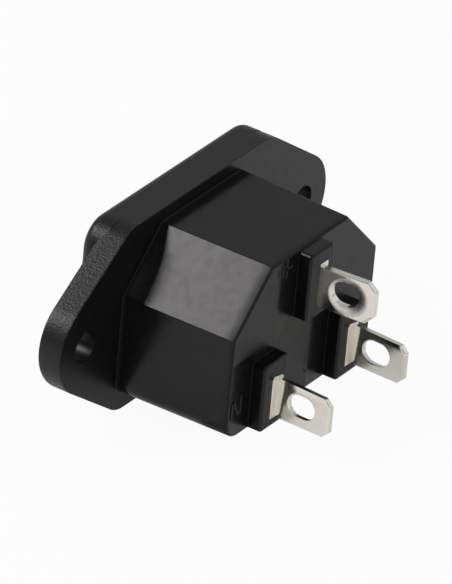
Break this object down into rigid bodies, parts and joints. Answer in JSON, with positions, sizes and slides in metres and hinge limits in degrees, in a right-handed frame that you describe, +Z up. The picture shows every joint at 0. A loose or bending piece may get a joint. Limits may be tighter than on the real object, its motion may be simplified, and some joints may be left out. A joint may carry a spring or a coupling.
{
  "type": "panel mount power inlet",
  "caption": "Screw-flange power inlet: a black moulded shroud with a plug recess in front and plated folded contacts that end in solder tabs behind.",
  "frame": {"origin": "middle of the flange's rear face, which lies on the panel, midway between the two screw holes", "axes": "+Y to the rear, towards the solder tabs; +Z up, towards the earth contact; X along the flange through both screw holes"},
  "size_m": [0.049, 0.0272, 0.022],
  "materials": {
    "black_plastic": "glossy moulded walls with a grained flange rim",
    "plated_contact": "bright tin plate"
  },
  "bodies": {
    "root": {"housing": "black_plastic", "line_terminal": "plated_contact", "neutral_terminal": "plated_contact", "earth_terminal": "plated_contact"}
  },
  "joints": []
}
